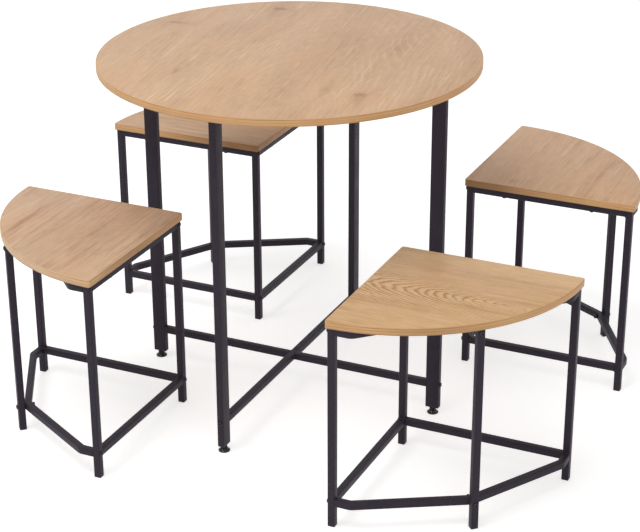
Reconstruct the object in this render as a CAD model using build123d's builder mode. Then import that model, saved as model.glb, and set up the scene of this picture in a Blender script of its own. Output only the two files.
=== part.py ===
from build123d import *
import math
import os

os.makedirs("parts", exist_ok=True)

# Overall sizes of the table, all lengths in millimetres
table_diameter = 800.0
table_height = 765.0
leg_circle_radius = 336.0
leg_end_height = 15.0
lower_bar_height = 70.0

# Overall sizes of a stool, whose seat is a quarter of a round board
seat_height = 445.0
seat_radius = 382.0
seat_corner_radius = 5.0
lower_rail_height = 54.0

# The boards, the flat tube of the table's legs, and the square tube of everything else
board_thickness = 15.0
leg_tube_width = 30.0
tube_width = 15.0
tube_wall = 1.2
tube_corner = 1.3
end_plate_thickness = 3.0

# Where the stool's tubes stand under its seat
frame_inset = 4.0
end_leg_inset = 4.5
middle_leg_inset = 1.0
bent_stub_length = 31.0
bend_radius = 15.0
bend_clearance = 0.05

# Plastic ends of the legs
plug_flange = 2.5
plug_depth = 12.0
plug_clearance = 0.1
insert_flange = 1.5
insert_depth = 20.0

# Bolts with button heads, and their nuts. They repeat, so they are drawn with few sides
bolt_sides = 8
bolt_radius = 3.0
bolt_hole_radius = 3.3
bolt_thread_clearance = 0.05
bolt_head_radius = 5.2
bolt_head_height = 3.3
bolt_bite = 5.0
nut_width = 10.0
nut_height = 5.0
nut_clearance = 0.05

# Levelling feet: a threaded stud with a collar for a spanner turns in a round base
stud_sides = 12
stud_radius = 3.97
stud_flange_radius = 4.97
stud_length = 42.0
stud_running_gap = 0.08
collar_width = 13.0
collar_height = 4.0
collar_gap = 0.5
foot_sides = 24
foot_radius = 12.5
foot_rim_height = 2.5
foot_top_radius = 7.0
foot_height = 8.0
foot_floor = 2.5
pocket_height = 3.1
pocket_face_gap = 0.05

# Where each stool stands, pulled out: its square corner's place from the table's centre
stool_corners = {
    "front_left": (-173.0, -167.0),
    "back_left": (-207.0, 258.0),
    "front_right": (316.0, -141.0),
    "back_right": (300.0, 255.0),
}

# The turn of each stool's left edge from the X axis, and the stools bolted on the other hand
stool_angles = {"front_left": 180.0, "back_left": 90.0, "front_right": 270.0, "back_right": 0.0}
other_hand_stools = ("back_left", "front_right")

# The turn from the X axis of each side of the table, and of a stool's middle leg from its left edge
side_angles = {"right": 0.0, "back": 90.0, "left": 180.0, "front": 270.0}
middle_leg_angle = 45.0

# Sizes of the table that follow from the ones above
bolt_thread_radius = bolt_radius + bolt_thread_clearance
table_radius = table_diameter / 2
top_underside = table_height - board_thickness
bar_heights = (lower_bar_height, top_underside - tube_width / 2)
bar_half_length = leg_circle_radius - leg_tube_width / 2
leg_outer_face = leg_circle_radius + leg_tube_width / 2

# Places in a stool, measured from its square corner along its two straight edges
seat_underside = seat_height - board_thickness
rail_heights = (lower_rail_height, seat_underside - tube_width / 2)
near_axis = frame_inset + tube_width / 2
near_face = frame_inset + tube_width
far_axis = seat_radius - end_leg_inset - tube_width / 2
rail_length = far_axis - tube_width / 2 - near_face
elbow = near_face + bent_stub_length

# The lower bent rail touches the middle leg at the crown of its middle bend
middle_leg_radius = seat_radius - middle_leg_inset - tube_width / 2
crown_face_radius = middle_leg_radius - tube_width / 2
crown_radius = crown_face_radius - bend_clearance - tube_width / 2
crown_place = crown_radius / math.sqrt(2)
half_turn = math.pi / 4 - math.atan2(far_axis - crown_place, crown_place - elbow)
crown_sag = bend_radius * (1 / math.cos(half_turn) - 1)
middle_vertex = (crown_radius + crown_sag) / math.sqrt(2)
inner_corner_radius = crown_radius + crown_sag - tube_width / 2 / math.cos(half_turn)
nut_face_radius = inner_corner_radius - nut_width / 2 * math.tan(half_turn) - nut_clearance

# The upper bent rail runs straight across, and a short tie reaches from it to the middle leg
tie_start_radius = (elbow + far_axis) / math.sqrt(2) + tube_width / 2
tie_place = tie_start_radius / math.sqrt(2)
tie_length = crown_face_radius - bend_clearance - tie_start_radius

# The corners of both bent rails' routes
rail_start, first_elbow = (near_face, far_axis), (elbow, far_axis)
second_elbow, rail_end = (far_axis, elbow), (far_axis, near_face)
lower_corners = (rail_start, first_elbow, (middle_vertex, middle_vertex), second_elbow, rail_end)
upper_corners = (rail_start, first_elbow, second_elbow, rail_end)

# The origin lies on the floor, in the middle of the space that the whole set covers
corner_xs = [x for x, y in stool_corners.values()]
corner_ys = [y for x, y in stool_corners.values()]
west = min(-table_radius, min(corner_xs) - seat_radius)
east = max(table_radius, max(corner_xs) + seat_radius)
south = min(-table_radius, min(corner_ys) - seat_radius)
north = max(table_radius, max(corner_ys) + seat_radius)
table_x = -(west + east) / 2
table_y = -(south + north) / 2


def ground_plane(x, y, turn):
    """Return a plane on the floor, at a place from the table's centre, turned about the vertical."""
    angle = math.radians(turn)
    return Plane((table_x + x, table_y + y, 0), x_dir=(math.cos(angle), math.sin(angle), 0))


def level_plane(ground, x, y, height, turn=0.0):
    """Return a level plane at a place on the ground plane, raised and turned."""
    angle = math.radians(turn)
    spot = ground.from_local_coords(Vector(x, y, height))
    ahead = ground.from_local_coords(Vector(x + math.cos(angle), y + math.sin(angle), height))
    return Plane(spot, x_dir=ahead - spot)


def side_plane(ground, x, y, height, turn=0.0):
    """Return an upright plane at a place on the ground plane, facing the given way."""
    level = level_plane(ground, x, y, height, turn)
    return Plane(level.origin, x_dir=level.y_dir, z_dir=level.x_dir)


def tube_section(width=tube_width):
    """Return the section of a rectangular tube with eased outer corners."""
    with BuildSketch() as section:
        Rectangle(width, tube_width)
        chamfer(section.vertices(), tube_corner)
        Rectangle(width - 2 * tube_wall, tube_width - 2 * tube_wall, mode=Mode.SUBTRACT)
    return section.sketch


def tube(plane, length, width=tube_width):
    """Return an open tube that starts on the plane and runs along its normal."""
    with BuildPart() as piece:
        with BuildSketch(plane):
            add(tube_section(width))
        extrude(amount=length)
    return piece.part


def end_closer(plane, width, flange, depth):
    """Return what closes a tube's lower end: a flange of its outline, and a body that fits inside."""
    with BuildPart() as piece:
        with BuildSketch(plane) as outline:
            Rectangle(width, tube_width)
            chamfer(outline.vertices(), tube_corner)
        extrude(amount=flange)
        inner_width = width - 2 * tube_wall - 2 * plug_clearance
        inner_depth = tube_width - 2 * tube_wall - 2 * plug_clearance
        with BuildSketch(plane.offset(flange)):
            Rectangle(inner_width, inner_depth)
        extrude(amount=depth)
    return piece.part


def post(plane, radius, depth, sides=bolt_sides):
    """Return a many-sided post that runs from the plane against its normal, flats at the radius."""
    with BuildPart() as piece:
        with BuildSketch(plane):
            RegularPolygon(radius, sides, major_radius=False)
        extrude(amount=-depth)
    return piece.part


def end_plate(plane):
    """Return the threaded plate welded into the end of a square tube, its face on the plane."""
    with BuildPart() as piece:
        with BuildSketch(plane):
            Rectangle(tube_width - 2 * tube_wall, tube_width - 2 * tube_wall)
            RegularPolygon(bolt_thread_radius, bolt_sides, major_radius=False, mode=Mode.SUBTRACT)
        extrude(amount=-end_plate_thickness)
    return piece.part


def bolt(plane, reach):
    """Return a bolt with its head on the plane and its shank behind it."""
    with BuildPart() as piece:
        with BuildSketch(plane):
            RegularPolygon(bolt_head_radius, bolt_sides, major_radius=False)
        extrude(amount=bolt_head_height)
        with BuildSketch(plane):
            RegularPolygon(bolt_radius, bolt_sides, major_radius=False)
        extrude(amount=-reach)
    return piece.part


def nut(plane):
    """Return a hexagonal nut that runs from the plane against its normal."""
    with BuildPart() as piece:
        with BuildSketch(plane):
            RegularPolygon(nut_width / 2, 6, major_radius=False, rotation=30)
            RegularPolygon(bolt_thread_radius, bolt_sides, major_radius=False, mode=Mode.SUBTRACT)
        extrude(amount=-nut_height)
    return piece.part


def keep(piece, name):
    """Label a finished piece and write it."""
    piece.part.label = name
    export_step(piece.part, f"parts/{name}.step")


# Round table top
table_ground = ground_plane(0, 0, 0)
with BuildPart() as table_top:
    with BuildSketch(level_plane(table_ground, 0, 0, top_underside)):
        Circle(table_radius)
    extrude(amount=board_thickness)
keep(table_top, "table_top")

# Four upright legs of flat tube, each bolted through its narrow outer face
for side, turn in side_angles.items():
    ground = ground_plane(0, 0, turn)
    tube_start = leg_end_height + insert_flange
    with BuildPart() as table_leg:
        lower_end = level_plane(ground, leg_circle_radius, 0, tube_start)
        add(tube(lower_end, top_underside - tube_start, leg_tube_width))
        for height in bar_heights:
            outer_face = side_plane(ground, leg_outer_face, 0, height)
            add(post(outer_face, bolt_hole_radius, leg_tube_width), mode=Mode.SUBTRACT)
    keep(table_leg, f"table_leg_{side}")

# Two crosses of square tube, halved into each other where they meet
for level, height in zip(("lower", "upper"), bar_heights):
    bar_base = height - tube_width / 2
    for way, turn, notch_base in (("left_right", 0.0, height), ("front_back", 90.0, bar_base)):
        ground = ground_plane(0, 0, turn)
        with BuildPart() as bar:
            add(tube(side_plane(ground, -bar_half_length, 0, height), 2 * bar_half_length))
            add(end_plate(side_plane(ground, bar_half_length, 0, height)))
            add(end_plate(side_plane(ground, -bar_half_length, 0, height, 180)))
            with BuildSketch(level_plane(ground, 0, 0, notch_base)):
                Rectangle(tube_width, tube_width)
            extrude(amount=tube_width / 2, mode=Mode.SUBTRACT)
        keep(bar, f"{level}_bar_{way}")

# Threaded plastic inserts that close the legs and carry the feet
with BuildPart() as leg_inserts:
    for turn in side_angles.values():
        mouth = level_plane(ground_plane(0, 0, turn), leg_circle_radius, 0, leg_end_height)
        add(end_closer(mouth, leg_tube_width, insert_flange, insert_depth))
        top = insert_flange + insert_depth
        thread_radius = stud_radius + stud_running_gap
        add(post(mouth.offset(top), thread_radius, top, stud_sides), mode=Mode.SUBTRACT)
keep(leg_inserts, "leg_inserts")

# Bolts through the legs into the bars
with BuildPart() as table_bolts:
    for turn in side_angles.values():
        for height in bar_heights:
            outer_face = side_plane(ground_plane(0, 0, turn), leg_outer_face, 0, height)
            add(bolt(outer_face, leg_tube_width + end_plate_thickness + bolt_bite))
keep(table_bolts, "table_bolts")

# Levelling feet: the stud screws into its insert, and its flange turns in the base's pocket
flange_height = pocket_height - 2 * pocket_face_gap
foot_slope = (foot_radius - foot_top_radius) / (foot_height - foot_rim_height)
foot_taper = math.degrees(math.atan(foot_slope))
for side, turn in side_angles.items():
    centre = level_plane(ground_plane(0, 0, turn), leg_circle_radius, 0, 0)
    with BuildPart() as foot_base:
        with BuildSketch(centre):
            RegularPolygon(foot_radius, foot_sides, major_radius=False)
        extrude(amount=foot_rim_height)
        with BuildSketch(centre.offset(foot_rim_height)):
            RegularPolygon(foot_radius, foot_sides, major_radius=False)
        extrude(amount=foot_height - foot_rim_height, taper=foot_taper)
        pocket_top = centre.offset(foot_floor + pocket_height)
        pocket_radius = stud_flange_radius + stud_running_gap
        add(post(pocket_top, pocket_radius, pocket_height, stud_sides), mode=Mode.SUBTRACT)
        neck_radius = stud_radius + stud_running_gap
        neck_length = foot_height - foot_floor - pocket_height
        add(post(centre.offset(foot_height), neck_radius, neck_length, stud_sides), mode=Mode.SUBTRACT)
    keep(foot_base, f"foot_base_{side}")
    stud_base = centre.offset(foot_floor + pocket_face_gap)
    with BuildPart() as foot_stud:
        with BuildSketch(stud_base):
            RegularPolygon(stud_radius, stud_sides)
        extrude(amount=stud_length)
        with BuildSketch(stud_base):
            RegularPolygon(stud_flange_radius, stud_sides)
        extrude(amount=flange_height)
        with BuildSketch(centre.offset(foot_height + collar_gap)):
            RegularPolygon(collar_width / 2, 6, major_radius=False)
        extrude(amount=collar_height)
    keep(foot_stud, f"foot_stud_{side}")


def bolted_joints(other_hand):
    """Return each bolted joint's leg, where a rail meets it, and the way its bolt head faces."""
    crown_face = crown_face_radius / math.sqrt(2)
    middle = ("middle", crown_face, crown_face, middle_leg_angle)
    if other_hand:
        return [("corner", near_axis, near_face, 270.0), ("left", far_axis, near_face, 270.0), middle]
    return [("corner", near_face, near_axis, 180.0), ("right", near_face, far_axis, 180.0), middle]


middle_axis = middle_leg_radius / math.sqrt(2)
stool_legs = {
    "corner": (near_axis, near_axis, 0.0),
    "left": (far_axis, near_axis, 0.0),
    "right": (near_axis, far_axis, 0.0),
    "middle": (middle_axis, middle_axis, middle_leg_angle),
}

# Four stools, each turned to its own quarter of the table
for name, (corner_x, corner_y) in stool_corners.items():
    ground = ground_plane(corner_x, corner_y, stool_angles[name])
    joints = bolted_joints(name in other_hand_stools)

    # A quarter-round seat with eased corners
    with BuildPart() as seat:
        with BuildSketch(level_plane(ground, 0, 0, seat_underside)) as outline:
            with BuildLine():
                Line((0, 0), (seat_radius, 0))
                CenterArc((0, 0), seat_radius, 0, 90)
                Line((0, seat_radius), (0, 0))
            make_face()
            fillet(outline.vertices(), seat_corner_radius)
        extrude(amount=board_thickness)
    keep(seat, f"{name}_stool_seat")

    # Legs of square tube, drilled where a bolt passes
    for leg_name, (x, y, leg_turn) in stool_legs.items():
        with BuildPart() as leg:
            add(tube(level_plane(ground, x, y, plug_flange, leg_turn), seat_underside - plug_flange))
            for joint_leg, joint_x, joint_y, way in joints:
                for height in rail_heights:
                    if joint_leg == leg_name:
                        head_face = side_plane(ground, joint_x, joint_y, height, way).offset(tube_width)
                        add(post(head_face, bolt_hole_radius, tube_width), mode=Mode.SUBTRACT)
        keep(leg, f"{name}_stool_{leg_name}_leg")

    # Plastic plugs in the legs' lower ends
    with BuildPart() as leg_plugs:
        for x, y, leg_turn in stool_legs.values():
            sole = level_plane(ground, x, y, 0, leg_turn)
            add(end_closer(sole, tube_width, plug_flange, plug_depth))
    keep(leg_plugs, f"{name}_stool_leg_plugs")

    # Straight rails along both edges, low down and under the seat
    with BuildPart() as straight_rails:
        for height in rail_heights:
            add(tube(side_plane(ground, near_face, near_axis, height), rail_length))
            add(tube(side_plane(ground, near_axis, near_face, height, 90), rail_length))
            joint_leg, joint_x, joint_y, way = joints[0]
            add(end_plate(side_plane(ground, joint_x, joint_y, height, way)))
    keep(straight_rails, f"{name}_stool_straight_rails")

    # Bent rails with a stub square off each end leg: the lower one is bolted to the middle leg at
    # its middle bend, the upper one by its tie
    with BuildPart() as bent_rails:
        for height, corners in zip(rail_heights, (lower_corners, upper_corners)):
            with BuildLine(level_plane(ground, 0, 0, height)) as route:
                FilletPolyline(*corners, radius=bend_radius)
            with BuildSketch(side_plane(ground, near_face, far_axis, height)):
                add(tube_section())
            sweep(path=route.wire())
            joint_leg, joint_x, joint_y, way = joints[1]
            add(end_plate(side_plane(ground, joint_x, joint_y, height, way)))
        joint_leg, joint_x, joint_y, way = joints[2]
        crown_face = side_plane(ground, joint_x, joint_y, lower_rail_height, way)
        add(post(crown_face, bolt_hole_radius, 2 * tube_width), mode=Mode.SUBTRACT)
        add(tube(side_plane(ground, tie_place, tie_place, rail_heights[1], way), tie_length))
        tie_end = side_plane(ground, joint_x, joint_y, rail_heights[1], way).offset(-bend_clearance)
        add(end_plate(tie_end))
    keep(bent_rails, f"{name}_stool_bent_rails")

    # Bolts at the joints, and a nut inside the lower middle bend
    with BuildPart() as bolts:
        for joint_leg, joint_x, joint_y, way in joints:
            for height in rail_heights:
                head_face = side_plane(ground, joint_x, joint_y, height, way).offset(tube_width)
                if joint_leg == "middle" and height == lower_rail_height:
                    nut_place = nut_face_radius / math.sqrt(2)
                    add(nut(side_plane(ground, nut_place, nut_place, height, way)))
                    head_radius = crown_face_radius + tube_width
                    add(bolt(head_face, head_radius - nut_face_radius + nut_height))
                else:
                    add(bolt(head_face, tube_width + end_plate_thickness + bolt_bite))
    keep(bolts, f"{name}_stool_bolts")

print("table centre", round(table_x, 3), round(table_y, 3))
print("turn of the middle bend in degrees", round(math.degrees(2 * half_turn), 2))
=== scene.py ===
"""Looks of a round dining table with four quarter-round stools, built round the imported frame."""

import math

import bmesh
import bpy
from mathutils import Matrix, Vector


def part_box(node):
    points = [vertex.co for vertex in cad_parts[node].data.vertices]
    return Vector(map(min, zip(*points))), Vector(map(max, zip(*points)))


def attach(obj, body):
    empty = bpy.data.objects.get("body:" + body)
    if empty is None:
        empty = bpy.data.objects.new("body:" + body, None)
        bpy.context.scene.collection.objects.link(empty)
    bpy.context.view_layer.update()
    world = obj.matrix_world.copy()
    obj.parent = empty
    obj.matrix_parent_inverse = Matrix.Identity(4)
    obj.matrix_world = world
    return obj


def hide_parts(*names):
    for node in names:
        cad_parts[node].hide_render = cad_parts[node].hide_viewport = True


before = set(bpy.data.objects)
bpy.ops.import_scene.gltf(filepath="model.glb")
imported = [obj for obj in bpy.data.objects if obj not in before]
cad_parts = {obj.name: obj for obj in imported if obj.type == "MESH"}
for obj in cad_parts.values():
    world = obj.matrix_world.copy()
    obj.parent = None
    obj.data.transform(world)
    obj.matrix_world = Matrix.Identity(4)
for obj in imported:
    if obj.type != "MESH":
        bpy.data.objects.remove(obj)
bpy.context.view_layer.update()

# Places read from the frame, in metres
top_low, top_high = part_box("table_top")
table_centre = (top_low + top_high) / 2
table_radius = (top_high.x - top_low.x) / 2
board_thickness = top_high.z - top_low.z
leg_low, leg_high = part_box("table_leg_right")
leg_width = leg_high.x - leg_low.x
tube_depth = leg_high.y - leg_low.y
half_tube = tube_depth / 2
leg_radius = (leg_low.x + leg_high.x) / 2 - table_centre.x
bar_low, bar_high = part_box("lower_bar_left_right")
upper_bar_low, upper_bar_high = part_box("upper_bar_left_right")
bar_length = bar_high.x - bar_low.x
bar_heights = ((bar_low.z + bar_high.z) / 2, (upper_bar_low.z + upper_bar_high.z) / 2)
insert_low, insert_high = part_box("leg_inserts")
stud_low, stud_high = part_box("foot_stud_right")
side_turns = {"right": 0, "back": 90, "left": 180, "front": 270}

# A stool is modelled once, its square corner at the origin and its left edge along X
stool_turns = {"front_left": 180, "back_left": 90, "front_right": 270, "back_right": 0}
other_hand_stools = ("back_left", "front_right")
model_low, model_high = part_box("back_right_stool_seat")
seat_radius = model_high.x - model_low.x
seat_underside = model_low.z


def model_place(node):
    """Return the middle of a node of the back right stool, measured from its square corner."""
    low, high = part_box(f"back_right_stool_{node}")
    return Vector(((low.x + high.x) / 2 - model_low.x, (low.y + high.y) / 2 - model_low.y, low.z))


near_axis = model_place("corner_leg").x
far_axis = model_place("left_leg").x
middle_axis = model_place("middle_leg").x
plug_flange = model_place("corner_leg").z
rails_low, rails_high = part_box("back_right_stool_straight_rails")
rail_heights = (rails_low.z + half_tube, rails_high.z - half_tube)
near_face = near_axis + half_tube
rail_length = far_axis - half_tube - near_face

# Sizes that the frame doesn't give; a share is part of the size it is used with
table_sides = 192
seat_sides = 224
seat_corner_radius = 0.005
edge_strip = 0.001
board_edge_round = 0.0006
tube_wall = 0.0012
tube_round = 0.0018
elbow_stub = 0.031
bend_radius = 0.015
crown_gap = 0.00005
notch_size = tube_depth * 1.001
bolt_radius = 0.003
bolt_head_radius = 0.0052
bolt_head_height = 0.0033
bolt_dome_share = 0.72
socket_width = 0.004
nut_width = 0.010
nut_height = 0.005
hexagon_ease_share = 0.12
foot_radius = 0.0125
foot_rim_height = 0.0025
foot_top_radius = 0.007
foot_height = 0.008
foot_round_share = 0.3
foot_slope_shares = (0.35, 0.62, 0.85, 1.0)
thread_radius = 0.00397
thread_root = 0.00335
thread_root_ease = 0.00067
thread_pitch = 0.00125
thread_sink = 0.0001
thread_flank_share = 0.42
insert_gap = 0.00008
pocket_gap = 0.00015
collar_width = 0.013
collar_height = 0.004
collar_gap = 0.0005
weld_radius = 0.0024
weld_cuts = 13
weld_ripples = 7
weld_ripple_share = 0.05
weld_end_share = 0.45
weld_end_slope = 6
weld_lump_places = (0.006, 0.014)
weld_lump_share = 0.8
screw_head_radius = 0.0050
screw_head_height = 0.0034
screw_dome_share = 0.7
screw_inset_share = 0.52
screw_shank_share = 0.6
screw_tip_share = 0.25
screw_slot_share = 0.22
plug_inset_share = 1.15
plug_round_share = 0.35
insert_round_share = 0.3
plug_rib_share = 0.3
plug_ribs = 4
table_screw_shares = (0.1, 0.35, 0.65, 0.9)
seat_screw_shares = (0.204, 0.779)

# The lower bent rail bends once more at the middle leg; a tie joins the upper one to it
elbow = near_face + elbow_stub
root_two = math.sqrt(2)
crown_face = middle_axis * root_two - half_tube
chord_face = (elbow + far_axis) / root_two + half_tube

# Shares that tell upright from level, and an end from the rest
mostly = 0.9
hardly = 0.1


# Modelling helpers

def activate(piece):
    """Make a piece the only one selected."""
    bpy.ops.object.select_all(action="DESELECT")
    piece.select_set(True)
    bpy.context.view_layer.objects.active = piece


def settle(name):
    """Name the new primitive and apply its place, turn and size to its mesh."""
    piece = bpy.context.active_object
    activate(piece)
    piece.name = name
    piece.data.name = name
    bpy.ops.object.transform_apply(location=True, rotation=True, scale=True)
    return piece


def cylinder(name, sides, radius, height, base=0.0):
    """Add a cylinder or a prism along Z that stands on a height."""
    bpy.ops.mesh.primitive_cylinder_add(vertices=sides, radius=radius, depth=height,
                                        location=(0, 0, base + height / 2))
    return settle(name)


def block(name, width, depth, height, base=0.0, turn=0):
    """Add a block that stands on a height, turned about Z by degrees."""
    bpy.ops.mesh.primitive_cube_add(size=1, location=(0, 0, base + height / 2),
                                    rotation=(0, 0, math.radians(turn)), scale=(width, depth, height))
    return settle(name)


def disc(name, sides, radius):
    """Add a flat disc about the origin."""
    bpy.ops.mesh.primitive_circle_add(vertices=sides, radius=radius, fill_type="NGON")
    return settle(name)


def hexagon(name, width, height, base=0.0):
    """Add an upright hexagonal block, measured across its flats."""
    return cylinder(name, 6, width / math.sqrt(3), height, base)


def edit(piece, kind="FACE"):
    """Open a piece in edit mode with nothing selected."""
    activate(piece)
    bpy.ops.object.mode_set(mode="EDIT")
    bpy.ops.mesh.select_mode(type=kind)
    bpy.ops.mesh.select_all(action="DESELECT")


def leave_edit():
    """Go back to object mode."""
    bpy.ops.object.mode_set(mode="OBJECT")


def select_whole():
    """Select the whole of the piece in edit mode."""
    bpy.ops.mesh.select_all(action="SELECT")


def pick(piece, kind, rule):
    """Select the faces or edges whose middle, and normal or direction, meet the rule."""
    bpy.ops.mesh.select_mode(type=kind)
    bpy.ops.mesh.select_all(action="DESELECT")
    mesh = bmesh.from_edit_mesh(piece.data)
    for part in mesh.faces if kind == "FACE" else mesh.edges:
        corners = [corner.co for corner in part.verts]
        way = part.normal if kind == "FACE" else (corners[1] - corners[0]).normalized()
        part.select_set(rule(sum(corners, Vector()) / len(corners), way))
    mesh.select_flush_mode()
    bmesh.update_edit_mesh(piece.data)


def upright(middle, way):
    """Tell whether an edge or a face's normal points up or down."""
    return abs(way.z) > mostly


def upward(middle, normal):
    """Tell whether a face looks up."""
    return normal.z > mostly


def extrude(move):
    """Extrude what is selected by a move."""
    bpy.ops.mesh.extrude_region_move(TRANSFORM_OT_translate={"value": move})


def round_off(width, segments, corners="EDGES"):
    """Round the selected edges or vertices."""
    bpy.ops.mesh.bevel(offset=width, offset_type="OFFSET", segments=segments, affect=corners)


def round_underside(piece, height, share, segments):
    """Round the lowest edges of a piece that stands on the origin by a share of a height."""
    pick(piece, "EDGE", lambda middle, way: middle.z < height * hardly and abs(way.z) < hardly)
    round_off(height * share, segments)


def point_outwards():
    """Turn every face of the piece in edit mode outwards."""
    select_whole()
    bpy.ops.mesh.normals_make_consistent(inside=False)


def finish_with(piece, kind, **settings):
    """Add a modifier to a piece and apply it."""
    activate(piece)
    modifier = piece.modifiers.new(kind.lower(), kind)
    for setting, value in settings.items():
        setattr(modifier, setting, value)
    bpy.ops.object.modifier_apply(modifier=modifier.name)


def ease(piece, width, angle):
    """Ease a piece's edges that are sharper than the angle."""
    finish_with(piece, "BEVEL", width=width, segments=2, limit_method="ANGLE",
                angle_limit=math.radians(angle))


def smooth(piece, angle=32):
    """Shade a piece smooth, but keep its edges sharper than the angle."""
    activate(piece)
    bpy.ops.object.shade_smooth_by_angle(angle=math.radians(angle))


def cut(piece, cutter):
    """Cut a piece with another one, which is then removed."""
    finish_with(piece, "BOOLEAN", operation="DIFFERENCE", object=cutter, solver="EXACT")
    remove(cutter)


def join(name, pieces):
    """Join pieces into one."""
    activate(pieces[0])
    for piece in pieces:
        piece.select_set(True)
    bpy.ops.object.join()
    pieces[0].name = name
    pieces[0].data.name = name
    return pieces[0]


def copy_to(piece, place, name="copy"):
    """Return a copy of a piece with its own mesh, moved by a matrix."""
    twin = piece.copy()
    twin.data = piece.data.copy()
    twin.data.transform(place)
    twin.name = name
    twin.data.name = name
    bpy.context.scene.collection.objects.link(twin)
    return twin


def moved(piece, place):
    """Move a piece's mesh by a matrix and return the piece."""
    piece.data.transform(place)
    return piece


def remove(*pieces):
    """Remove pieces that are no longer needed."""
    for piece in pieces:
        bpy.data.objects.remove(piece)


def spread(name, model, places):
    """Join copies of a model at the given places into one piece, and remove the model."""
    piece = join(name, [copy_to(model, place) for place in places])
    remove(model)
    return piece


def at(x, y, z, turn=0):
    """Return the matrix of a place, turned about the vertical by degrees."""
    return Matrix.Translation((x, y, z)) @ Matrix.Rotation(math.radians(turn), 4, "Z")


def facing(x, y, z, turn=0):
    """Return the matrix that lays the Z axis level, facing the given way."""
    return at(x, y, z, turn) @ Matrix.Rotation(math.radians(90), 4, "Y")


def at_table(height, turn=0):
    """Return the matrix of a place on the table's axis."""
    return at(table_centre.x, table_centre.y, height, turn)


def at_leg(height, turn):
    """Return the matrix of a place on the axis of the table leg that stands that way."""
    return at_table(height, turn) @ at(leg_radius, 0, 0)


# Materials

class Nodes:
    """A node tree, its nodes added one by one."""

    def __init__(self, tree):
        self.tree = tree

    def feed(self, socket, value):
        """Link an output to a socket, or set the socket to a plain value."""
        if isinstance(value, bpy.types.NodeSocket):
            self.tree.links.new(value, socket)
        else:
            socket.default_value = value

    def add(self, kind, inputs=None, **settings):
        """Add a node, with values or links for its inputs."""
        node = self.tree.nodes.new(kind)
        for setting, value in settings.items():
            setattr(node, setting, value)
        for socket, value in (inputs or {}).items():
            self.feed(node.inputs[socket], value)
        return node

    def maths(self, operation, first, second=0.0, third=0.0):
        """Add a sum of numbers or outputs."""
        return self.add("ShaderNodeMath", {0: first, 1: second, 2: third}, operation=operation).outputs[0]

    def times(self, first, second):
        """Return the product of two values."""
        return self.maths("MULTIPLY", first, second)

    def plus(self, base, value, share):
        """Return a base with a share of a value added."""
        return self.maths("MULTIPLY_ADD", value, share, base)

    def stretched(self, place, scale):
        """Return a place with each axis multiplied."""
        return self.add("ShaderNodeVectorMath", {0: place, 1: scale}, operation="MULTIPLY").outputs[0]

    def distance(self, place, x, y, half_length, half_width):
        """Return how far a place is from a point of the board, in half lengths and half widths."""
        aside = self.add("ShaderNodeVectorMath", {0: place, 1: (x, y, 0)}, operation="SUBTRACT").outputs[0]
        share = self.stretched(aside, (1 / half_length, 1 / half_width, 0.0))
        return self.add("ShaderNodeVectorMath", {0: share}, operation="LENGTH").outputs["Value"]

    def noise(self, place, cycles, detail=2.0, roughness=0.5):
        """Return noise from 0 to 1, of so many cycles a metre all ways or along each axis."""
        if isinstance(cycles, tuple):
            place = self.stretched(place, cycles)
            cycles = 1.0
        inputs = {"Vector": place, "Scale": cycles, "Detail": detail, "Roughness": roughness}
        return self.add("ShaderNodeTexNoise", inputs).outputs["Fac"]

    def ramp(self, value, low, high, to_low=0.0, to_high=1.0):
        """Return a value mapped smoothly from one range to another."""
        inputs = {"Value": value, "From Min": low, "From Max": high, "To Min": to_low, "To Max": to_high}
        return self.add("ShaderNodeMapRange", inputs, interpolation_type="SMOOTHSTEP").outputs["Result"]

    def blend(self, share, first, second):
        """Return two colours mixed by a share."""
        return self.add("ShaderNodeMix", {0: share, 6: first, 7: second}, data_type="RGBA").outputs[2]

    def seen(self):
        """Return 1 for rays from the camera, a reflection or a clear piece, and 0 for the others."""
        path = self.add("ShaderNodeLightPath").outputs
        passed_on = self.maths("MAXIMUM", path["Is Glossy Ray"], path["Is Transmission Ray"])
        return self.maths("MAXIMUM", path["Is Camera Ray"], passed_on)


class Recipe(Nodes):
    """A new material's nodes, with its shader and the place on the piece."""

    def __init__(self, name):
        self.material = bpy.data.materials.new(name)
        self.material.use_nodes = True
        super().__init__(self.material.node_tree)
        self.shader = self.tree.nodes["Principled BSDF"]
        self.place = self.add("ShaderNodeTexCoord").outputs["Object"]

    def set(self, **sockets):
        """Set or link the shader's own sockets."""
        for socket, value in sockets.items():
            self.feed(self.shader.inputs[socket.replace("_", " ")], value)

    def bump(self, height, strength, distance):
        """Give the shader a bump from a height."""
        inputs = {"Height": height, "Strength": strength, "Distance": distance}
        self.set(Normal=self.add("ShaderNodeBump", inputs).outputs["Normal"])


def colour(red, green, blue):
    """Return a colour written as it looks on a screen, 0 to 255, as the nodes take it."""
    parts = [part / 255 for part in (red, green, blue)]
    return [part / 12.92 if part <= 0.04045 else ((part + 0.055) / 1.055) ** 2.4 for part in parts] + [1.0]


def brighter(base, factor):
    """Return a colour made brighter by a factor."""
    return [part * factor for part in base[:3]] + [1.0]


# The boards' wood

oak_light = colour(213, 178, 144)
oak_dark = colour(168, 128, 95)
oak_streak = colour(232, 202, 168)
oak_warm = colour(218, 172, 132)
oak_halo = colour(196, 140, 108)
oak_stain = colour(126, 88, 62)
board_gloss = 0.35

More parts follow.
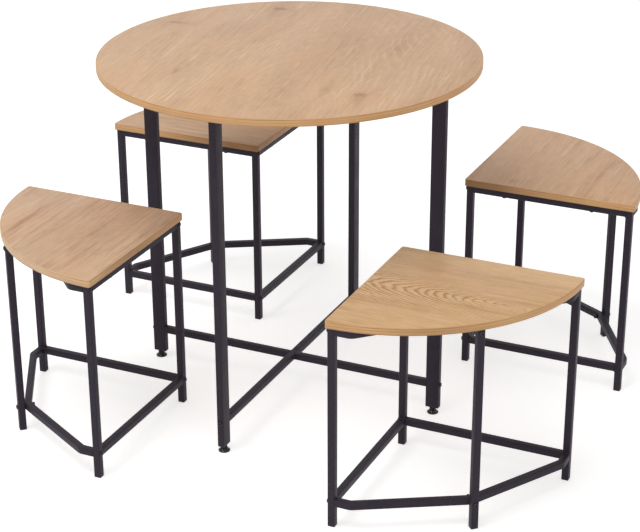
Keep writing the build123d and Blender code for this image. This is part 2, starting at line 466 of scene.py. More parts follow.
# Layers of the print: cycles a metre along, across and through the board, then noise detail and roughness
grain_layers = {
    "drift": ((2.2, 7.0, 1.0), 3.0, 0.5),
    "flicker": ((26.0, 90.0, 1.0), 3.0, 0.5),
    "patches": ((5.0, 19.0, 1.0), 2.0, 0.5),
    "fibres": ((6.0, 160.0, 1.0), 4.0, 0.62),
    "pores": ((60.0, 1100.0, 1.0), 2.0, 0.5),
    "bands": ((1.6, 9.0, 1.0), 2.0, 0.5),
    "mottle": ((34.0, 70.0, 1.0), 3.0, 0.6),
    "streaks": ((7.0, 170.0, 1.0), 2.0, 0.5),
    "warmth": ((5.0, 9.0, 1.0), 1.0, 0.5),
}

# Layers that darken the board all over: the noise levels from none to full, and how much
darker_layers = (("pores", 0.55, 0.70, 0.18), ("bands", 0.30, 0.68, 0.30), ("mottle", 0.35, 0.70, 0.16))

# Noise levels of the patches between which each kind of figure comes up, and of the figure itself
ring_patches = (0.40, 0.60)
fibre_patches = (0.58, 0.40, 0.12, 1.0)
fibre_levels = (0.40, 0.70)
streak_patches = (0.44, 0.60, 0.06)
streak_levels = (0.56, 0.70)
warm_levels = (0.35, 0.68, 0.0, 0.30)
fibre_gloss_levels = (0.2, 0.8, 0.44, 0.58)

# A ring darkens slowly and ends fast; rings fade away from the heart and, on some boards, right over it
ring_start, ring_crest = 0.40, 0.92
ring_fade = (0.02, 0.2, 1.0)
heart_width = 0.12

# A mark's stain, halo and push on the rings, from its outside in, in multiples of its half size
mark_ragged = 1.6
stain_levels = (1.2, -0.1)
most_stain = 0.9
halo_levels = (3.2, 0.4)
halo_share = 0.45
push_levels = (4.0, 0.0)
push_share = 1.2

# Where the rings' heart lies, how it sways and leans, its depth and slope, and how strong each figure is
table_figure = {"heart": -0.055, "sway": 0.09, "lean": 0.8, "depth": 0.12, "slope": -0.24, "ragged": 0.008,
                "rings": 100, "reach": 0.34, "centre": 0.0, "show": 0.0, "tone": -0.34, "fibre": 0.26,
                "pale": 0.6}
seat_figure = {"heart": 0.0, "sway": 0.07, "lean": 1.0, "depth": 0.16, "slope": 0.06, "ragged": 0.008,
               "rings": 150, "reach": 0.30, "centre": 0.2, "show": 0.0, "tone": 0.40, "fibre": 0.47,
               "pale": 0.45}

# The photo's knots, streaks and soft patches: place along and across the grain, half sizes and tone
table_grain_turn = 98
table_marks = (
    (0.316, 0.120, 0.012, 0.022, 0.55),
    (0.290, 0.124, 0.085, 0.022, 0.16),
    (0.156, 0.306, 0.009, 0.030, 0.52),
    (-0.166, 0.191, 0.028, 0.006, 0.40),
    (-0.208, -0.209, 0.014, 0.015, 0.60),
    (-0.228, -0.212, 0.055, 0.016, 0.20),
    (0.102, -0.206, 0.075, 0.026, 0.20),
    (-0.190, -0.137, 0.070, 0.010, 0.32),
    (-0.200, 0.042, 0.060, 0.012, 0.20),
    (0.080, -0.120, 0.240, 0.075, 0.10),
)

# Each seat's grain turn, light and dark colour, changes to the seats' figure, and marks
seat_grains = {
    "front_left": (
        90, colour(219, 185, 153), colour(166, 126, 96),
        {"heart": 0.17, "slope": -0.05, "tone": 0.25},
        ((-0.165, 0.283, 0.095, 0.010, 0.38), (-0.150, 0.117, 0.120, 0.007, 0.20),
         (-0.120, 0.212, 0.060, 0.008, 0.18)),
    ),
    "back_left": (0, oak_light, oak_dark, {"heart": 0.11, "depth": 0.10, "slope": 0.10}, ()),
    "front_right": (
        0, colour(243, 209, 158), colour(176, 129, 82),
        {"heart": -0.178, "sway": 0.02, "lean": 0.85, "depth": 0.060, "slope": 0.20, "ragged": 0.010,
         "rings": 235, "reach": 0.12, "centre": 1.0, "show": 0.65, "tone": 1.1},
        ((0.257, -0.069, 0.135, 0.012, 0.20), (0.250, -0.086, 0.150, 0.010, 0.14),
         (0.100, -0.060, 0.030, 0.050, 0.12)),
    ),
    "back_right": (
        # The back right seat's light colour is paler partly for its board's own tone and partly as painted
        # light that makes up for the table's shade over this seat
        90, colour(228, 190, 155), colour(171, 129, 95),
        {"heart": -0.42, "slope": 0.03, "tone": 0.25},
        ((0.035, -0.101, 0.016, 0.020, 0.22), (0.150, -0.264, 0.055, 0.007, 0.22),
         (0.225, -0.268, 0.050, 0.014, 0.22)),
    ),
}

# The edge strips' colours, and their lines: depth below the top, half width and tone
strip_light = colour(230, 183, 128)
strip_dark = colour(163, 111, 64)
strip_pink = colour(222, 160, 116)
strip_sway = 0.0022
strip_lines = ((0.0022, 0.0011, 0.62), (0.0078, 0.0013, 0.30), (0.0140, 0.0016, 0.42))
line_core_share = 0.3

# Painted shade and light on the seats' strips: the darker stretches are painted shade, chiefly of the table
# over them, and the paler stretch is painted light; place from the square corner, reach, tone and light
painted_shade_colour = colour(110, 70, 42)
painted_light_colour = colour(250, 222, 188)
strip_painted_shading = {
    "front_left": ((0.0, -0.23, 0.16, 0.25, painted_shade_colour), (-0.16, -0.35, 0.26, 0.80, painted_light_colour)),
    "back_left": ((-0.03, 0.0, 0.26, 0.70, painted_shade_colour),),
    "front_right": ((0.20, -0.32, 0.14, 0.25, painted_shade_colour),),
    "back_right": ((0.0, 0.0, 0.24, 0.70, painted_shade_colour),),
}


def ring_pattern(wood, local, layer, push, figure):
    """Tree rings cut lengthwise: circles about a heart that lies under the board and slopes away."""
    along, across = wood.add("ShaderNodeSeparateXYZ", {0: local}).outputs[:2]
    sway = wood.maths("SUBTRACT", layer["drift"], 0.5)
    sideways = wood.plus(wood.maths("SUBTRACT", across, figure["heart"]), sway, figure["sway"])
    leaning = wood.maths("MAXIMUM", sideways, wood.times(sideways, -figure["lean"]))
    jitter = wood.maths("SUBTRACT", layer["flicker"], 0.5)
    depth = wood.plus(wood.plus(figure["depth"], along, -figure["slope"]), jitter, figure["ragged"])
    square = wood.maths("ADD", wood.maths("POWER", leaning, 2.0), wood.maths("POWER", depth, 2.0))
    radius = wood.maths("ADD", wood.maths("SQRT", square), push)
    ring = wood.maths("FRACT", wood.times(radius, figure["rings"]))
    line = wood.times(wood.ramp(ring, ring_start, ring_crest), wood.ramp(ring, 1.0, ring_crest))
    line = wood.times(line, wood.ramp(leaning, figure["reach"], *ring_fade))
    return wood.times(line, wood.ramp(leaning, 0.0, heart_width, figure["centre"], 1.0))


def board_marks(wood, local, flicker, marks):
    """Knots and streaks: how much they stain the board, redden it round them and push the rings."""
    stain, halo, push = 0.0, 0.0, 0.0
    for x, y, half_length, half_width, tone in marks:
        away = wood.distance(local, x, y, half_length, half_width)
        away = wood.plus(wood.maths("SUBTRACT", away, mark_ragged / 2), flicker, mark_ragged)
        stain = wood.plus(stain, wood.ramp(away, *stain_levels), tone)
        halo = wood.plus(halo, wood.ramp(away, *halo_levels), tone * halo_share)
        pushed = wood.ramp(away, *push_levels, 0.0, half_width * tone * push_share)
        push = wood.maths("ADD", push, pushed)
    return stain, halo, push


def oak_decor(name, centre, turn, light, dark, figure, marks):
    """Light oak board decor: tree rings, fibres, fine pores, soft bands, and dark marks where given."""
    wood = Recipe(name)
    inputs = {"Vector": wood.place, "Location": centre, "Rotation": (0, 0, math.radians(turn))}
    local = wood.add("ShaderNodeMapping", inputs, vector_type="TEXTURE").outputs[0]
    layer = {kind: wood.noise(local, *values) for kind, values in grain_layers.items()}
    patches = layer["patches"]
    stain, halo, push = board_marks(wood, local, layer["flicker"], marks)

    # What darkens the print, from the rings to the mottle
    rings = wood.times(ring_pattern(wood, local, layer, push, figure),
                       wood.ramp(patches, *ring_patches, figure["show"], 1.0))
    fibres = wood.times(wood.ramp(layer["fibres"], *fibre_levels), wood.ramp(patches, *fibre_patches))
    shade = wood.plus(wood.times(rings, figure["tone"]), fibres, figure["fibre"])
    shown = {}
    for kind, low, high, share in darker_layers:
        shown[kind] = wood.ramp(layer[kind], low, high)
        shade = wood.plus(shade, shown[kind], share)
    tint = wood.blend(shade, light, dark)

    # Pale streaks, warm clouds and the marks' own colours lie over it
    streaks = wood.times(wood.ramp(layer["streaks"], *streak_levels),
                         wood.ramp(patches, *streak_patches, figure["pale"]))
    tint = wood.blend(streaks, tint, oak_streak)
    tint = wood.blend(wood.ramp(layer["warmth"], *warm_levels), tint, oak_warm)
    if marks:
        tint = wood.blend(halo, tint, oak_halo)
        tint = wood.blend(wood.maths("MINIMUM", stain, most_stain), tint, oak_stain)
    wood.set(Base_Color=tint, Roughness=wood.ramp(layer["fibres"], *fibre_gloss_levels),
             Specular_IOR_Level=board_gloss)
    wood.bump(wood.plus(wood.times(layer["fibres"], 0.5), shown["pores"], -0.7), 0.25, 0.0002)
    return "wood_board", wood.material


def edge_decor(name, top, painted_shading=()):
    """Edge strip: a warmer print whose lines run along the edge, with painted shade and light as darker or
    paler stretches.
    """
    wood = Recipe(name)
    height = wood.add("ShaderNodeSeparateXYZ", {0: wood.place}).outputs["Z"]
    sway = wood.maths("SUBTRACT", wood.noise(wood.place, 7.0, detail=3.0), 0.5)
    drop = wood.plus(wood.maths("SUBTRACT", top, height), sway, strip_sway)
    shade = 0.0
    for middle, half_width, tone in strip_lines:
        off = wood.maths("ABSOLUTE", wood.maths("SUBTRACT", drop, middle))
        shade = wood.plus(shade, wood.ramp(off, half_width, half_width * line_core_share), tone)
    broken = wood.noise(wood.place, (16.0, 16.0, 3.0), detail=3.0)
    shade = wood.times(shade, wood.ramp(broken, 0.3, 0.6, 0.4, 1.0))
    fine = wood.noise(wood.place, (8.0, 8.0, 700.0), detail=3.0, roughness=0.6)
    shade = wood.plus(shade, wood.ramp(fine, 0.35, 0.7), 0.30)
    light = strip_light
    # Each stretch paints shade or light into the strip's light colour
    for x, y, reach, tone, other_light in painted_shading:
        away = wood.distance(wood.place, x, y, reach, reach)
        light = wood.blend(wood.ramp(away, 1.0, 0.0, 0.0, tone), light, other_light)
    tint = wood.blend(shade, light, strip_dark)
    pink = wood.noise(wood.place, 11.0)
    tint = wood.blend(wood.ramp(pink, 0.45, 0.7, 0.0, 0.35), tint, strip_pink)
    wood.set(Base_Color=tint, Roughness=wood.ramp(fine, 0.2, 0.8, 0.4, 0.55),
             Specular_IOR_Level=board_gloss)
    wood.bump(fine, 0.15, 0.0002)
    return "wood_board", wood.material


def table_wood():
    """The table top's decor, its grain near Y."""
    return oak_decor("oak_table_top", table_centre, table_grain_turn, oak_light, oak_dark, table_figure,
                     table_marks)


def seat_wood(name, corner):
    """A seat's decor, measured from its square corner: grain along Y on two seats and X on two."""
    turn, light, dark, changes, marks = seat_grains[name]
    return oak_decor(f"oak_{name}_seat", corner, turn, light, dark, {**seat_figure, **changes}, marks)


def seat_strip_wood(name, corner):
    """A seat's edge strip with its own stretches of painted shade and light."""
    painted_shading = [(corner.x + x, corner.y + y, *rest) for x, y, *rest in strip_painted_shading[name]]
    return edge_decor(f"oak_{name}_edge_strip", model_high.z, painted_shading)


# Steel, plastic and the floor

def powder_coat(name, base, roughness=0.50, peel=0.22):
    """Matt black powder coat: fine orange peel, faint clouding and a few rubbed marks."""
    coat = Recipe(name)
    grain = coat.noise(coat.place, 1500.0)
    clouds = coat.noise(coat.place, 24.0, detail=3.0)
    rubs = coat.ramp(coat.noise(coat.place, (90.0, 90.0, 14.0), detail=4.0), 0.6, 0.8)
    tint = coat.blend(coat.ramp(clouds, 0.3, 0.75, 0.0, 0.6), base, brighter(base, 1.5))
    tint = coat.blend(coat.times(rubs, 0.25), tint, brighter(base, 2.2))
    rough = coat.ramp(clouds, 0.2, 0.8, roughness - 0.05, roughness + 0.08)
    coat.set(Base_Color=tint, Roughness=coat.plus(rough, rubs, -0.08), Specular_IOR_Level=0.2)
    coat.bump(grain, peel, 0.0003)
    return coat.material


def moulded_plastic(name, base, roughness):
    """Black moulded plastic with a very fine texture and handling marks."""
    skin = Recipe(name)
    texture = skin.noise(skin.place, 2600.0)
    marks = skin.noise(skin.place, 160.0, detail=4.0)
    skin.set(Base_Color=skin.blend(skin.ramp(marks, 0.4, 0.8, 0.0, 0.7), base, brighter(base, 1.8)),
             Roughness=skin.ramp(marks, 0.3, 0.8, roughness, roughness + 0.12))
    skin.bump(texture, 0.12, 0.0001)
    return skin.material


def blackened_steel(name, base, roughness):
    """Blackened steel of bolts and studs: metallic, with rubbed high spots."""
    skin = Recipe(name)
    rubs = skin.noise(skin.place, 420.0, detail=4.0)
    fine = skin.noise(skin.place, 3000.0)
    tint = skin.blend(skin.ramp(rubs, 0.5, 0.75, 0.0, 0.8), base, brighter(base, 2.6))
    rough = skin.ramp(rubs, 0.3, 0.8, roughness + 0.1, roughness)
    skin.set(Base_Color=tint, Metallic=0.85, Roughness=rough)
    skin.bump(fine, 0.08, 0.0001)
    return skin.material


def white_floor(name):
    """Pale floor that the camera and reflections see as white, with the object's soft shadow."""
    floor = Recipe(name)
    floor.set(Base_Color=floor_grey, Roughness=0.9, Specular_IOR_Level=0.0, Emission_Color=white,
              Emission_Strength=floor.times(floor.seen(), floor_glow))
    return floor.material


# The finishes, each with its slot in the record
frame_black = colour(46, 39, 50)
steel = ("frame_steel", powder_coat("charcoal_powder_coat", frame_black))
weld_coat = powder_coat("charcoal_powder_coat_on_welds", frame_black, roughness=0.4, peel=0.3)
welded = ("frame_steel", weld_coat)
plastic = ("black_plastic", moulded_plastic("satin_black_plastic", colour(26, 24, 26), 0.38))
foot_gloss = ("foot_plastic", moulded_plastic("gloss_black_plastic", colour(14, 13, 15), 0.16))
bolt_black = ("black_bolts", blackened_steel("black_oxide_bolts", colour(52, 50, 54), 0.28))
stud_black = ("foot_stud_steel", blackened_steel("black_zinc_studs", colour(40, 39, 43), 0.24))


def dress(piece, body, finish, *nodes):
    """Give a piece its material and body, and hide the CAD nodes that it stands for."""
    slot, material = finish
    piece.data.materials.clear()
    piece.data.materials.append(material)
    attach(piece, body)
    if nodes:
        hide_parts(*nodes)


# Boards

def quarter_outline():
    """A seat's outline: a disc cut down to its quarter, with eased corners."""
    outline = disc("quarter_outline", seat_sides, seat_radius)
    for direction in ((1, 0, 0), (0, 1, 0)):
        edit(outline)
        select_whole()
        bpy.ops.mesh.bisect(plane_co=(0, 0, 0), plane_no=direction, clear_inner=True)
        leave_edit()
    edit(outline, "VERT")
    mesh = bmesh.from_edit_mesh(outline.data)
    corners = [(0, 0), (seat_radius, 0), (0, seat_radius)]
    for vertex in mesh.verts:
        near = any(math.hypot(vertex.co.x - x, vertex.co.y - y) < edge_strip for x, y in corners)
        vertex.select_set(near)
    bmesh.update_edit_mesh(outline.data)
    round_off(seat_corner_radius, 8, "VERTICES")
    leave_edit()
    return outline


def raise_outline(outline, name, keep_rim):
    """Return the board inside the edge strip, or the strip round it, raised to its thickness."""
    piece = copy_to(outline, Matrix.Identity(4), name)
    edit(piece)
    select_whole()
    bpy.ops.mesh.inset(thickness=edge_strip, depth=0)
    if not keep_rim:
        bpy.ops.mesh.select_all(action="INVERT")
    bpy.ops.mesh.delete(type="FACE")
    select_whole()
    extrude((0, 0, board_thickness))
    point_outwards()
    leave_edit()
    ease(piece, board_edge_round if keep_rim else board_edge_round / 2, 60)
    smooth(piece)
    return piece


# Steel tubes

def rounded_block(name, width, height):
    """A block of the tube's depth with rounded upright edges, left open in edit mode."""
    piece = block(name, width, tube_depth, height)
    edit(piece)
    pick(piece, "EDGE", upright)
    round_off(tube_round, 4)
    return piece


def hollow(tube):
    """Leave edit mode and give a tube its wall, inwards."""
    leave_edit()
    finish_with(tube, "SOLIDIFY", thickness=tube_wall, offset=-1, use_even_offset=True)
    smooth(tube)
    return tube


def tube_piece(name, length, width):
    """An open tube with rounded corners, standing on the origin along Z."""
    tube = rounded_block(name, width, length)
    pick(tube, "FACE", upright)
    bpy.ops.mesh.delete(type="ONLY_FACE")
    return hollow(tube)


def middle_corner():
    """Return where a lower bent rail's two chords would meet if the middle bend were sharp."""
    crown = crown_face - half_tube - crown_gap
    crown_place = crown / root_two
    half_turn = math.pi / 4 - math.atan2(far_axis - crown_place, crown_place - elbow)
    corner = (crown + bend_radius * (1 / math.cos(half_turn) - 1)) / root_two
    return Vector((corner, corner, 0))


def bent_rail(name, middle_bend):
    """A bent rail at floor level: a stub, a bend, a chord, a bend and a stub, or two chords."""
    points = [Vector((near_face, far_axis, 0)), Vector((elbow, far_axis, 0))]
    if middle_bend:
        points.append(middle_corner())
    points += [Vector((far_axis, elbow, 0)), Vector((far_axis, near_face, 0))]
    bpy.ops.mesh.primitive_plane_add(size=tube_depth, location=points[0], rotation=(0, math.radians(90), 0))
    rail = settle(name)
    edit(rail, "VERT")
    select_whole()
    round_off(tube_round, 4, "VERTICES")
    bpy.ops.mesh.select_mode(type="FACE")
    select_whole()
    spot = points[0]
    for before, corner, after in zip(points, points[1:], points[2:]):
        way_in = (corner - before).normalized()
        way_out = (after - corner).normalized()
        turn = way_in.angle(way_out)
        tangent = bend_radius * math.tan(turn / 2)
        run = corner - way_in * tangent - spot
        extrude(run)
        centre = spot + run + Vector((way_in.y, -way_in.x, 0)) * bend_radius
        bpy.ops.mesh.spin(steps=7, angle=turn, center=centre, axis=(0, 0, 1))
        spot = corner + way_out * tangent
    extrude(points[-1] - spot)
    pick(rail, "FACE", lambda middle, normal: (middle - points[0]).length < tube_wall
         or ((middle - points[-1]).length < tube_wall and abs(normal.y) > mostly))
    bpy.ops.mesh.delete(type="ONLY_FACE")
    point_outwards()
    return hollow(rail)


def weld_bead():
    """A weld bead along Z with soft ends and fine ripples, for an inner corner."""
    length = tube_depth - tube_round
    bead = cylinder("weld_bead", 14, weld_radius, length, base=-length / 2)
    edit(bead)
    pick(bead, "EDGE", upright)
    bpy.ops.mesh.subdivide(number_cuts=weld_cuts)
    leave_edit()
    for vertex in bead.data.vertices:
        share = vertex.co.z / length + 0.5
        ripple = 1 + weld_ripple_share * math.cos(share * 2 * math.pi * weld_ripples)
        end = min(1.0, weld_end_share + weld_end_slope * min(share, 1 - share))
        vertex.co.x *= ripple * end
        vertex.co.y *= ripple * end
    smooth(bead, 50)
    return bead


# Bolts, nuts, screws, plugs and feet

def button_bolt(name, shank):
    """A bolt whose domed head stands on the origin with its hexagon socket, shank below."""
    height = bolt_head_height
    bolt = cylinder(name, 28, bolt_head_radius, height)
    edit(bolt)
    pick(bolt, "EDGE", lambda middle, way: middle.z > height * mostly)
    round_off(height * bolt_dome_share, 5)
    pick(bolt, "FACE", lambda middle, normal: normal.z < -mostly)
    bpy.ops.mesh.inset(thickness=bolt_head_radius - bolt_radius)
    extrude((0, 0, -shank))
    leave_edit()
    cut(bolt, hexagon("socket", socket_width, height, base=height * 0.45))
    smooth(bolt, 38)
    return bolt


def hexagon_nut():
    """A nut with eased corners, standing on the origin."""
    nut = hexagon("nut", nut_width, nut_height)
    cut(nut, cylinder("nut_hole", 24, bolt_radius, nut_height * 3, base=-nut_height * 1.5))
    ease(nut, bolt_radius * hexagon_ease_share, 50)
    smooth(nut)
    return nut


def wood_screw():
    """A pan-head wood screw seen from below: the head hangs from the origin, its tip is above."""
    height = screw_head_height
    radius = screw_head_radius
    screw = cylinder("wood_screw", 24, radius, height, base=-height)
    edit(screw)
    pick(screw, "EDGE", lambda middle, way: middle.z < -height * mostly)
    round_off(height * screw_dome_share, 4)
    pick(screw, "FACE", upward)
    bpy.ops.mesh.inset(thickness=radius * screw_inset_share)
    extrude((0, 0, tube_depth + board_thickness * screw_shank_share))
    bpy.ops.transform.resize(value=(screw_tip_share, screw_tip_share, 1))
    leave_edit()
    for turn in (0, 90):
        cut(screw, block("cross_slot", radius, radius * screw_slot_share, height * 1.2, -height * 1.6, turn))
    smooth(screw, 38)
    return screw


def leg_plug():
    """A stool leg's plug: a flange with rounded edges on the floor, and a ribbed body inside the tube."""
    plug = rounded_block("leg_plug", tube_depth, plug_flange)
    round_underside(plug, plug_flange, plug_round_share, 3)
    pick(plug, "FACE", upward)
    for rib in range(plug_ribs):
        bpy.ops.mesh.inset(thickness=tube_wall * (plug_inset_share if rib == 0 else plug_rib_share))
        extrude((0, 0, plug_flange))
    leave_edit()
    smooth(plug)
    return plug


def leg_insert():
    """A table leg's threaded insert: a thin flange under the tube and a block inside it."""
    flange = leg_low.z - insert_low.z
    height = insert_high.z - insert_low.z
    insert = rounded_block("leg_insert", leg_width, flange)
    round_underside(insert, flange, insert_round_share, 2)
    pick(insert, "FACE", upward)
    bpy.ops.mesh.inset(thickness=tube_wall * plug_inset_share)
    extrude((0, 0, height - flange))
    leave_edit()
    cut(insert, cylinder("threaded_hole", 32, thread_radius + insert_gap, height * 3, base=-height))
    smooth(insert)
    return insert


def foot_base():
    """A round levelling base: a rim rounded at the floor and a cone up to its narrow neck."""
    base = cylinder("foot_base", 48, foot_radius, foot_rim_height)
    edit(base)
    pick(base, "FACE", upward)
    rise = (foot_height - foot_rim_height) / len(foot_slope_shares)
    radius = foot_radius
    for share in foot_slope_shares:
        goal = foot_radius + (foot_top_radius - foot_radius) * share
        extrude((0, 0, rise))
        bpy.ops.transform.resize(value=(goal / radius, goal / radius, 1))
        radius = goal
    slack = foot_rim_height * hardly
    rims = (0.0, foot_rim_height, foot_height)
    pick(base, "EDGE", lambda middle, way: abs(way.z) < hardly
         and any(abs(middle.z - rim) < slack for rim in rims))
    round_off(foot_rim_height * foot_round_share, 3)
    leave_edit()
    cut(base, cylinder("stud_pocket", 32, thread_radius + pocket_gap, foot_height, base=foot_height * 0.35))
    smooth(base, 40)
    return base


def foot_stud():
    """A levelling stud: a round core with a real thread wound on it, and a hexagon collar."""
    core = cylinder("foot_stud", 32, thread_root, stud_high.z - stud_low.z, base=stud_low.z)
    ease(core, thread_root_ease, 60)
    collar_base = foot_height + collar_gap
    collar = hexagon("collar", collar_width, collar_height, base=collar_base)
    ease(collar, collar_height * hexagon_ease_share, 50)
    thread_start = collar_base + collar_height / 2
    turns = int((stud_high.z - thread_start) / thread_pitch) - 1
    ridge = disc("thread_ridge", 3, thread_pitch / 2)
    root = thread_root - thread_sink
    profile = ((root, -thread_flank_share), (thread_radius, 0.0), (root, thread_flank_share))
    for vertex, (reach, share) in zip(ridge.data.vertices, profile):
        vertex.co = (reach, 0, thread_start + thread_pitch * (0.5 + share))
    finish_with(ridge, "SCREW", angle=math.radians(360), screw_offset=thread_pitch, iterations=turns,
                steps=20, render_steps=20, use_merge_vertices=False)
    edit(ridge)
    select_whole()
    bpy.ops.mesh.remove_doubles(threshold=0.000001)
    point_outwards()
    leave_edit()
    stud = join("foot_stud", [core, collar, ridge])
    smooth(stud, 40)
    return stud


# The table

def table_boards():
    """Set the table's top board and its edge strip in place."""
    outline = moved(disc("round_outline", table_sides, table_radius), at_table(top_low.z))
    board = raise_outline(outline, "table_top_board", keep_rim=False)
    strip = raise_outline(outline, "table_top_edge_strip", keep_rim=True)
    dress(board, "table", table_wood(), "table_top")
    dress(strip, "table", edge_decor("oak_table_edge_strip", top_high.z))
    remove(outline)


def table_legs():
    """Set the four legs in place."""
    leg = tube_piece("leg", leg_high.z - leg_low.z, leg_width)
    for side, turn in side_turns.items():
        tube = copy_to(leg, at_leg(leg_low.z, turn), f"table_leg_{side}_tube")
        dress(tube, "table", steel, f"table_leg_{side}")
    remove(leg)


def table_crosses():
    """Set the two crosses of bars in place, each bar notched where the other one passes."""
    bar = tube_piece("bar", bar_length, tube_depth)
    for level, height in zip(("lower", "upper"), bar_heights):
        for way, turn, lift in (("left_right", 0, 1), ("front_back", 90, -1)):
            place = at_table(height, turn) @ facing(-bar_length / 2, 0, 0)
            laid = copy_to(bar, place, f"{level}_bar_{way}_tube")
            notch_place = (table_centre.x, table_centre.y, height + lift * notch_size / 2)
            bpy.ops.mesh.primitive_cube_add(size=notch_size, location=notch_place)
            cut(laid, settle("notch"))
            smooth(laid)
            dress(laid, "table", steel, f"{level}_bar_{way}")
    remove(bar)


def table_welds():
    """Set a bead in each corner of the crosses, and two lumps of weld behind the lower crossing."""
    places = [at_table(height) @ at(x * half_tube, y * half_tube, 0)
              for height in bar_heights for x, y in ((1, 1), (-1, 1), (-1, -1), (1, -1))]
    pieces = [spread("weld_beads", weld_bead(), places)]
    for behind in weld_lump_places:
        place = (table_centre.x, table_centre.y + half_tube + behind, bar_heights[0] + half_tube)
        bpy.ops.mesh.primitive_uv_sphere_add(segments=16, ring_count=8, radius=weld_radius * weld_lump_share,
                                             location=place)
        pieces.append(settle("weld_lump"))
    dress(join("table_cross_welds", pieces), "table", welded)


def table_bolts():
    """Set a bolt through each leg into each bar end."""
    places = [at_table(height, turn) @ facing(leg_radius + leg_width / 2, 0, 0)
              for height in bar_heights for turn in side_turns.values()]
    bolts = spread("table_frame_bolts", button_bolt("bolt", leg_width + tube_wall), places)
    dress(bolts, "table", bolt_black, "table_bolts")


def table_screws():
    """Set wood screws up through the upper bars into the top."""
    places = [at_table(bar_heights[1] - half_tube, turn) @ at(bar_length * (share - 0.5), 0, 0)
              for turn in (0, 90) for share in table_screw_shares]
    dress(spread("table_top_screws", wood_screw(), places), "table", bolt_black)


def table_feet():
    """Set the threaded inserts, the levelling bases and their studs in place."""
    places = [at_leg(insert_low.z, turn) for turn in side_turns.values()]
    dress(spread("table_leg_inserts", leg_insert(), places), "table", plastic, "leg_inserts")
    base = foot_base()
    stud = foot_stud()
    for side, turn in side_turns.items():
        moulding = copy_to(base, at_leg(0, turn), f"foot_base_{side}_moulding")
        dress(moulding, f"foot_base_{side}", foot_gloss, f"foot_base_{side}")
        threaded = copy_to(stud, at_leg(0, turn), f"foot_stud_{side}_threaded")
        dress(threaded, f"foot_stud_{side}", stud_black, f"foot_stud_{side}")
    remove(base, stud)


# The stools

def stool_leg_places(height):
    """Return each leg's place and turn, measured from the square corner."""
    return {
        "corner": at(near_axis, near_axis, height),
        "left": at(far_axis, near_axis, height),
        "right": at(near_axis, far_axis, height),
        "middle": at(middle_axis, middle_axis, height, 45),
    }


def stool_straight_rails():
    """The four straight rails, two low and two under the seat."""
    places = []
    for height in rail_heights:
        places += [facing(near_face, near_axis, height), facing(near_axis, near_face, height, 90)]
    return spread("rails_model", tube_piece("straight_model", rail_length, tube_depth), places)


def stool_bent_rails():
    """The lower and the upper bent rail, and the tie from the upper one to the middle leg."""
    low, high = rail_heights
    tie = tube_piece("tie_model", crown_face - crown_gap - chord_face + tube_wall / 2, tube_depth)
    tie_start = (chord_face - tube_wall / 2) / root_two
    return join("bends_model", [
        moved(bent_rail("low_bend_model", middle_bend=True), at(0, 0, low)),
        moved(bent_rail("high_bend_model", middle_bend=False), at(0, 0, high)),
        moved(tie, facing(tie_start, tie_start, high, 45)),
    ])


def stool_bolts(other_hand):
    """Bolts through the corner leg, one end leg and the middle leg, and a nut in the lower bend."""
    bolt = button_bolt("bolt", tube_depth + tube_wall * 3)
    long_bolt = button_bolt("long_bolt", tube_depth * 2 + nut_height)
    outer = near_axis - half_tube
    if other_hand:
        spots = ((near_axis, outer, 270), (far_axis, outer, 270))
    else:
        spots = ((outer, near_axis, 180), (outer, far_axis, 180))
    middle_face = middle_axis + half_tube / root_two
    nut_place = middle_axis - (tube_depth * 1.6 + nut_height) / root_two
    low, high = rail_heights
    places = [facing(middle_face, middle_face, high, 45)]
    places += [facing(x, y, height, way) for height in rail_heights for x, y, way in spots]
    return join("bolts_model", [
        moved(long_bolt, facing(middle_face, middle_face, low, 45)),
        moved(hexagon_nut(), facing(nut_place, nut_place, low, 45) @ at(0, 0, 0, 30)),
        spread("short_bolts", bolt, places),
    ])


def stool_welds(other_hand):
    """Beads above and below each welded rail end, the upper ones only below, and round the tie."""
    far_face = far_axis - half_tube
    low, high = rail_heights
    ends = [(far_face, near_axis, 90), (near_axis, far_face, 180)]
    if other_hand:
        ends += [(near_face, near_axis, 90), (near_face, far_axis, 90)]
    else:
        ends += [(near_axis, near_face, 180), (far_axis, near_face, 180)]
    places = [facing(x, y, height, way) for x, y, way in ends
              for height in (low - half_tube, low + half_tube, high - half_tube)]
    start = chord_face / root_two
    aside = half_tube / root_two
    places += [facing(start, start, high - half_tube, 135), at(start - aside, start + aside, high),
               at(start + aside, start - aside, high)]
    return spread("welds_model", weld_bead(), places)


def stool_screws():
    """Wood screws up through the upper rails into the seat."""
    height = rail_heights[1] - half_tube
    places = []
    for share in seat_screw_shares:
        along_rail = near_face + rail_length * share
        along_chord = elbow + (far_axis - elbow) * share
        places += [at(along_rail, near_axis, height), at(near_axis, along_rail, height),
                   at(along_chord, elbow + far_axis - along_chord, height)]
    return spread("screws_model", wood_screw(), places)


def stool_models():
    """Model a stool's pieces once, its square corner at the origin."""
    outline = moved(quarter_outline(), at(0, 0, seat_underside))
    models = {
        "seat": raise_outline(outline, "seat_model", keep_rim=False),
        "strip": raise_outline(outline, "strip_model", keep_rim=True),
        "leg": tube_piece("leg_model", seat_underside - plug_flange, tube_depth),
        "rails": stool_straight_rails(),
        "bends": stool_bent_rails(),
        "plugs": spread("plugs_model", leg_plug(), stool_leg_places(0).values()),
        "screws": stool_screws(),
    }
    for hand in (False, True):
        models[f"bolts_{hand}"] = stool_bolts(hand)
        models[f"welds_{hand}"] = stool_welds(hand)
    remove(outline)
    return models


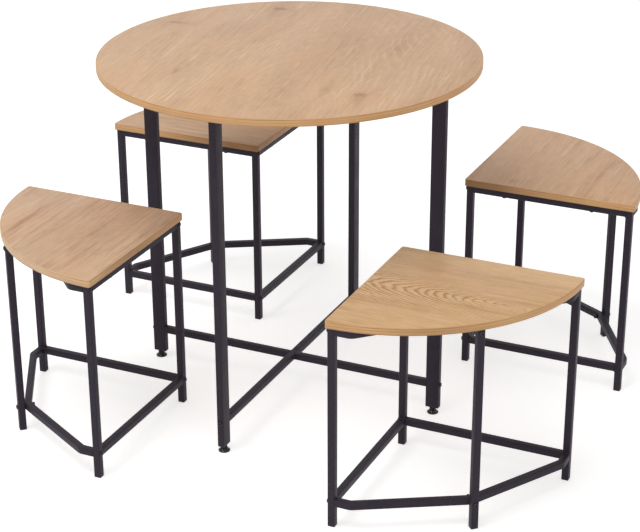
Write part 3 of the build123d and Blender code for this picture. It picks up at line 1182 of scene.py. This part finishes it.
def build_stool(name, models):
    """Set one stool's pieces in its place."""
    low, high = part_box(f"{name}_stool_seat")
    turn = stool_turns[name]
    towards = math.radians(turn + 45)
    corner_x = low.x if math.cos(towards) > 0 else high.x
    corner_y = low.y if math.sin(towards) > 0 else high.y
    corner = Vector((corner_x, corner_y, 0))
    place = at(*corner, turn)
    hand = name in other_hand_stools
    body = f"{name}_stool"

    def set_down(model, suffix, finish, *nodes, spot=Matrix.Identity(4)):
        piece = copy_to(models[model], place @ spot, f"{body}_{suffix}")
        dress(piece, body, finish, *[f"{body}_{node}" for node in nodes])

    set_down("seat", "seat_board", seat_wood(name, corner), "seat")
    set_down("strip", "seat_edge_strip", seat_strip_wood(name, corner))
    for leg, spot in stool_leg_places(plug_flange).items():
        set_down("leg", f"{leg}_leg_tube", steel, f"{leg}_leg", spot=spot)
    set_down("rails", "straight_rail_tubes", steel, "straight_rails")
    set_down("bends", "bent_rail_tubes", steel, "bent_rails")
    set_down("plugs", "plugs", plastic, "leg_plugs")
    set_down(f"bolts_{hand}", "frame_bolts", bolt_black, "bolts")
    set_down(f"welds_{hand}", "weld_beads", welded)
    set_down("screws", "seat_screws", bolt_black)


table_boards()
table_legs()
table_crosses()
table_welds()
table_bolts()
table_screws()
table_feet()
models = stool_models()
for name in stool_turns:
    build_stool(name, models)
remove(*models.values())


# The studio

white = (1.0, 1.0, 1.0, 1.0)
floor_grey = (0.80, 0.80, 0.80, 1.0)
floor_radius = 12
floor_glow = 0.58
even_light = 0.52
lamps = (("key", (-0.9, -1.7, 4.3), 3.0, 80), ("fill", (2.6, -3.0, 2.0), 2.0, 12))
lamp_target = Vector((0, 0, 0.4))


def studio():
    """A white floor and background, even light from all round and two soft lamps."""
    floor = disc("floor", 96, floor_radius)
    floor.data.materials.append(white_floor("white_floor"))
    world = bpy.data.worlds.new("studio")
    bpy.context.scene.world = world
    world.use_nodes = True
    sky = Nodes(world.node_tree)
    background = world.node_tree.nodes["Background"].inputs
    sky.feed(background["Color"], white)
    sky.feed(background["Strength"], sky.ramp(sky.seen(), 0.0, 1.0, even_light, 1.0))
    for name, place, size, watts in lamps:
        lamp = bpy.data.lights.new(name, "AREA")
        lamp.shape = "DISK"
        lamp.size = size
        lamp.energy = watts
        holder = bpy.data.objects.new(name, lamp)
        bpy.context.scene.collection.objects.link(holder)
        holder.location = place
        holder.rotation_euler = (lamp_target - Vector(place)).to_track_quat("-Z", "Y").to_euler()


def photo_camera():
    """The camera at the photograph's place, found by fitting the legs, rails and boards."""
    picture_width, picture_height = 640, 532
    focal_pixels = 1871.3
    optical_x, optical_y = 292.15, 303.93
    azimuth, elevation, roll = (math.radians(angle) for angle in (25.65, 25.14, -0.61))
    distance, target_height = 4.1164, 0.19497
    back = Vector((math.sin(azimuth) * math.cos(elevation), -math.cos(azimuth) * math.cos(elevation),
                   math.sin(elevation)))
    level = Vector((math.cos(azimuth), math.sin(azimuth), 0))
    upward_level = back.cross(level)
    right = level * math.cos(roll) + upward_level * math.sin(roll)
    up = upward_level * math.cos(roll) - level * math.sin(roll)
    camera = bpy.data.objects.new("camera", bpy.data.cameras.new("camera"))
    bpy.context.scene.collection.objects.link(camera)
    spot = Vector((table_centre.x, table_centre.y, target_height)) + back * distance
    turn = Matrix((right, up, back)).transposed()
    camera.matrix_world = Matrix.Translation(spot) @ turn.to_4x4()
    camera.data.sensor_fit = "HORIZONTAL"
    camera.data.lens = focal_pixels * camera.data.sensor_width / picture_width
    camera.data.shift_x = (picture_width / 2 - optical_x) / picture_width
    camera.data.shift_y = (optical_y - picture_height / 2) / picture_width
    bpy.context.scene.camera = camera


studio()
photo_camera()
bpy.context.scene.view_settings.view_transform = "Standard"
